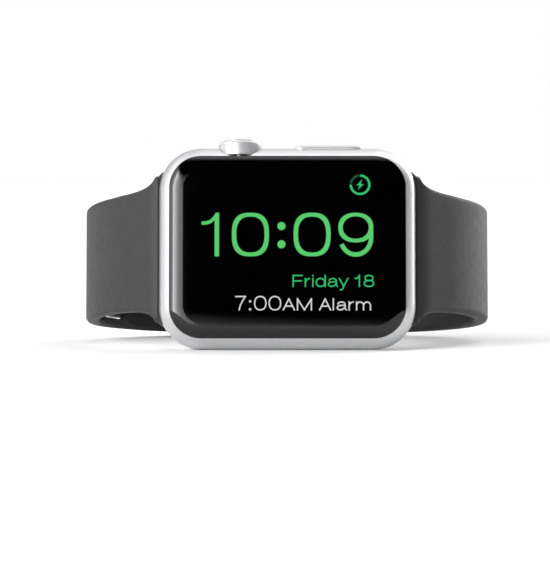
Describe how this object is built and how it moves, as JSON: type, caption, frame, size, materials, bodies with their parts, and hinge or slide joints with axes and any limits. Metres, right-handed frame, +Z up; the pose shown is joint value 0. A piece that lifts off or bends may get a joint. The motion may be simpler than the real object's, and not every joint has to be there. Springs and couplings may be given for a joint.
{
  "type": "smartwatch",
  "caption": "Smartwatch on its side: rounded metal case, curved black screen with a clock, crown, side button and closed rubber band.",
  "frame": {"origin": "middle of the watch's outline on the surface it stands on", "axes": "+X along the case from its 12 o'clock end to its 6 o'clock end, +Z up, towards the crown side; the screen faces -Y, leaning back"},
  "size_m": [0.0695, 0.06, 0.0349],
  "materials": {
    "case_metal": "fine bead-blasted, clear anodised",
    "button_metal": "satin, clear anodised",
    "crown_cap": "satin, slightly domed",
    "cover_glass": "black sapphire, polished, lit display behind it",
    "display": "black",
    "gasket": "matt",
    "flex": "amber polyimide",
    "board": "solder mask",
    "package": "moulded resin",
    "fastener": "bare steel",
    "battery": "laminate pouch",
    "steel_parts": "machined",
    "switches": "moulded",
    "mesh": "fine woven mesh",
    "back_ceramic": "black ceramic, polished",
    "sensor_crystal": "smoked crystal",
    "lens": "clear windows",
    "coil": "enamelled copper wire",
    "magnet": "plated",
    "release_steel": "satin",
    "lug": "same colour as the band",
    "band_rubber": "soft-touch matt",
    "stud_steel": "polished"
  },
  "bodies": {
    "case": {"case_housing": "case_metal", "cover_glass": "cover_glass", "display_panel": "display", "display_gasket": "gasket", "back_gasket": "gasket", "crown_seal": "gasket", "display_flex": "flex", "battery_flex": "flex", "logic_board": "board", "sensor_board": "board", "system_package": "package", "crown_sensor": "package", "microphone": "package", "board_screws": "fastener", "haptic_screws": "fastener", "bracket_screws": "fastener", "battery": "battery", "haptic_housing": "steel_parts", "crown_bushing": "steel_parts", "button_bracket": "steel_parts", "crown_switch": "switches", "button_switch": "switches", "speaker": "switches", "speaker_mesh": "mesh", "back_cover": "back_ceramic", "sensor_crystal": "sensor_crystal", "sensor_lenses": "lens", "charging_coil": "coil", "alignment_magnet": "magnet"},
    "crown_plunger": {"crown_thrust_plate": "steel_parts"},
    "crown": {"crown_knob": "button_metal", "crown_cap": "crown_cap", "crown_shaft": "steel_parts"},
    "side_button": {"side_button": "button_metal"},
    "release_12": {"release_button_12": "release_steel", "release_latch_12": "steel_parts"},
    "release_6": {"release_button_6": "release_steel", "release_latch_6": "steel_parts"},
    "haptic": {"haptic_mass": "steel_parts"},
    "band": {"lug_insert_12": "lug", "lug_insert_6": "lug", "strap_short": "band_rubber", "strap_long": "band_rubber", "closure_stud": "stud_steel", "stud_washer": "stud_steel"}
  },
  "joints": [
    {"name": "crown_press", "type": "slide", "parent": "case", "child": "crown_plunger", "axis": [0, -0.1308, -0.9914], "range_m": [0, 0.00035], "stiffness_N_per_m": 40, "springref_m": -0.0015},
    {"name": "crown_spin", "type": "hinge", "parent": "crown_plunger", "child": "crown", "pos_m": [-0.0079, -0.02207, 0.03248], "axis": [0, 0.1308, 0.9914], "continuous": true},
    {"name": "side_button_press", "type": "slide", "parent": "case", "child": "side_button", "axis": [0, -0.1308, -0.9914], "range_m": [0, 0.00025], "stiffness_N_per_m": 30, "springref_m": -0.001},
    {"name": "release_12_press", "type": "slide", "parent": "case", "child": "release_12", "axis": [0, -0.9914, 0.1308], "range_m": [0, 0.0005], "stiffness_N_per_m": 10, "springref_m": -0.001},
    {"name": "release_6_press", "type": "slide", "parent": "case", "child": "release_6", "axis": [0, -0.9914, 0.1308], "range_m": [0, 0.0005], "stiffness_N_per_m": 10, "springref_m": -0.001},
    {"name": "haptic_shake", "type": "slide", "parent": "case", "child": "haptic", "axis": [1, 0, 0], "range_m": [-0.0004, 0.0004], "stiffness_N_per_m": 30},
    {"name": "band_slide", "type": "slide", "parent": "case", "child": "band", "axis": [0, 0.1308, 0.9914], "range_m": [0, 0.028]}
  ]
}
